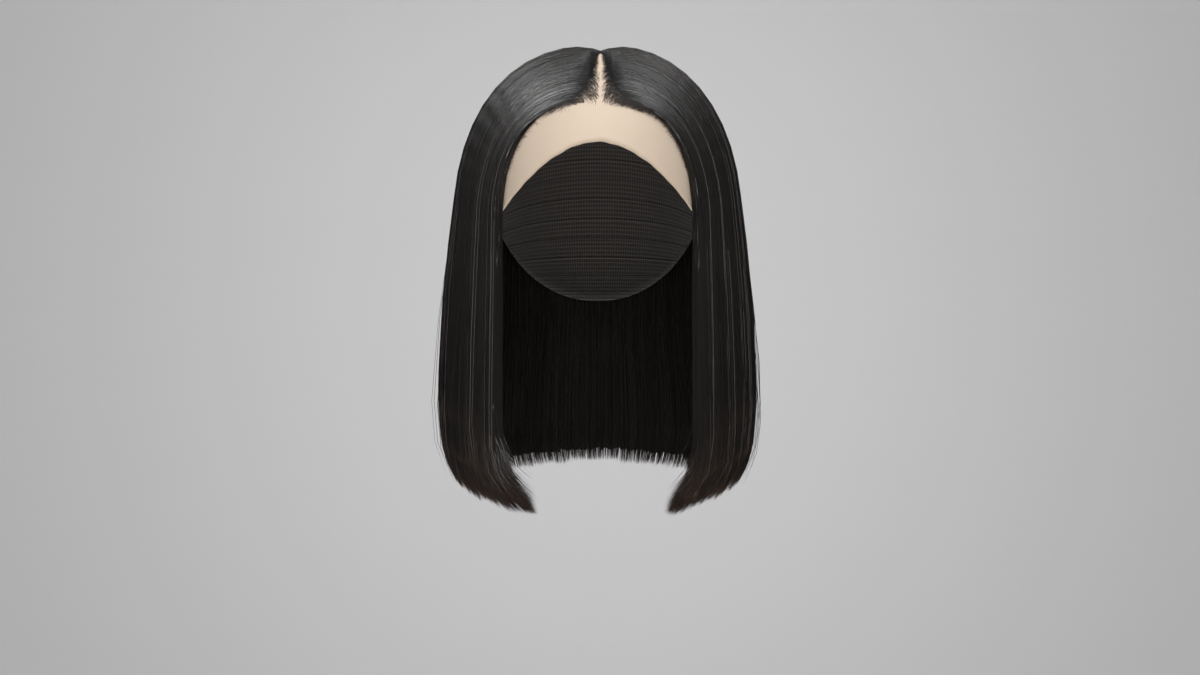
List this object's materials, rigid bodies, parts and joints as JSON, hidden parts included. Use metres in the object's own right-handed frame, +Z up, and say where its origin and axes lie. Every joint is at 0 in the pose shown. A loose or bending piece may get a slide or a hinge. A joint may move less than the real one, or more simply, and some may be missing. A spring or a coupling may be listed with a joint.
{
  "type": "lace front bob wig",
  "caption": "Straight bob wig with a centre parting: smooth hair falls in curtains past the chin round an open face, rooted in a lace front and a net cap, held up on a head.",
  "frame": {"origin": "the point inside the cap, at the crown, where the wig sits on the head", "axes": "+Z up, -Y out of the face opening, +X the wearer's left"},
  "size_m": [0.2228, 0.206, 0.321],
  "materials": {
    "lace": "fine matt skin-coloured net",
    "net": "matt black stretch net",
    "hair": "smooth straight fibre with a soft sheen along the strands"
  },
  "bodies": {
    "root": {"lace_front": "lace", "net_cap": "net", "hair_curtain_left": "hair", "hair_curtain_right": "hair", "hair_curtain_back": "hair"}
  },
  "joints": []
}
